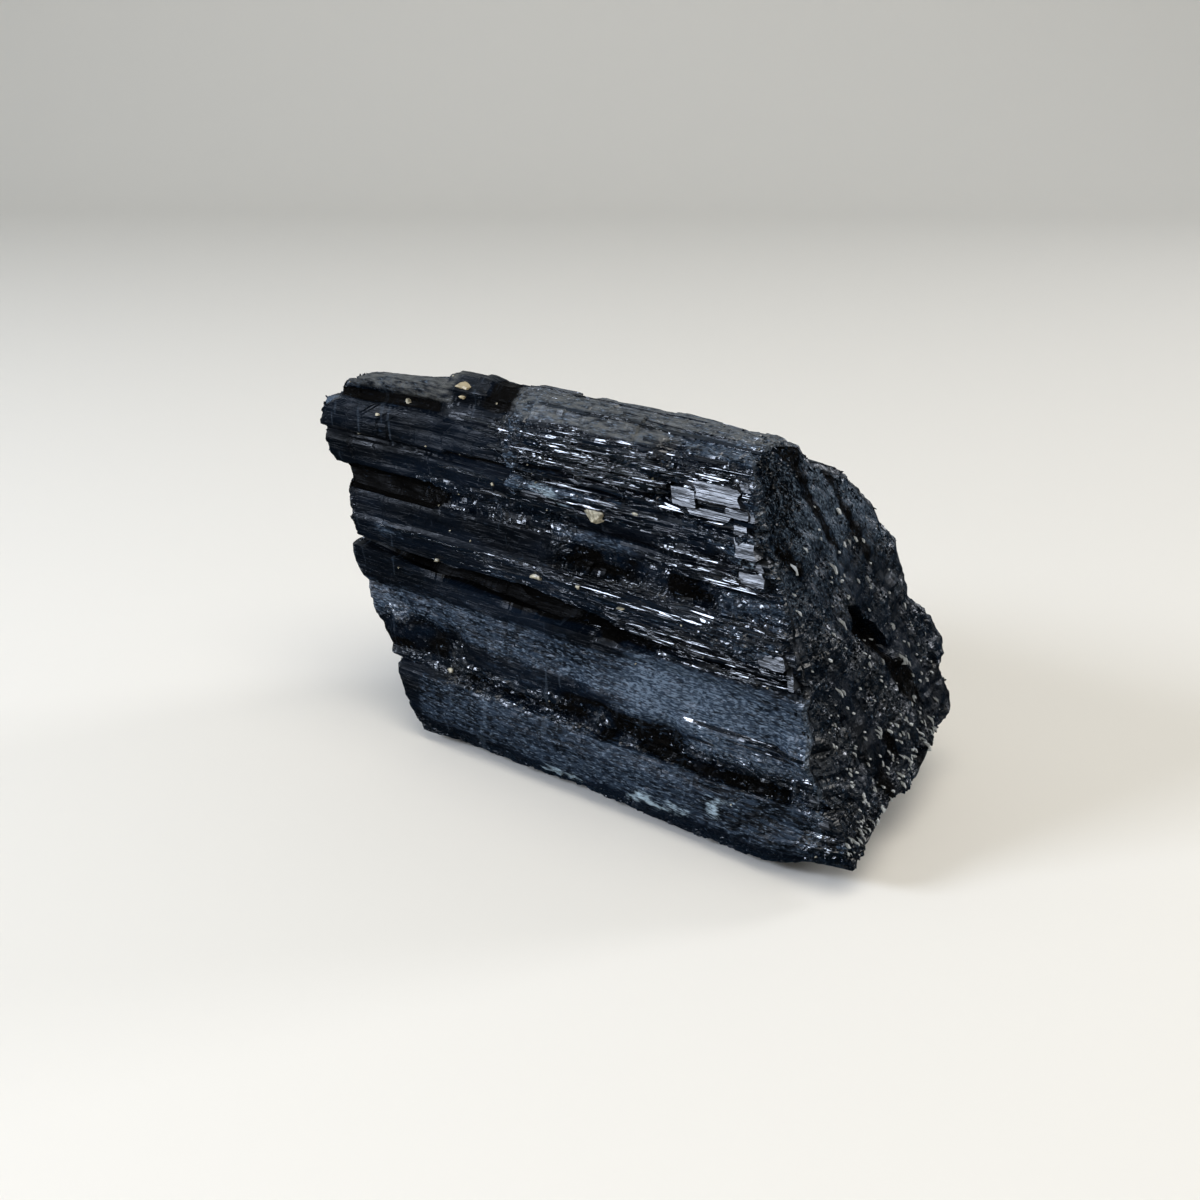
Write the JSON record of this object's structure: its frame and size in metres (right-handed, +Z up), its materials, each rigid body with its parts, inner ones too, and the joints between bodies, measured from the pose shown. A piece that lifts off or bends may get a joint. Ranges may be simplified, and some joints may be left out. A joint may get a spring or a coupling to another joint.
{
  "type": "raw black tourmaline",
  "caption": "Rough black tourmaline: a broken length of a large striated crystal with leaning fracture ends, lying on its side as a display mineral.",
  "frame": {"origin": "middle of the overall box at the resting level", "axes": "+Z up as it rests, +X along the crystal's long axis towards the end whose break faces the viewer of the picture, -Y towards the striated side"},
  "size_m": [0.1328, 0.0614, 0.0813],
  "materials": {
    "tourmaline": "opaque vitreous mineral, black with a navy sheen"
  },
  "bodies": {
    "root": {"tourmaline": "tourmaline"}
  },
  "joints": []
}
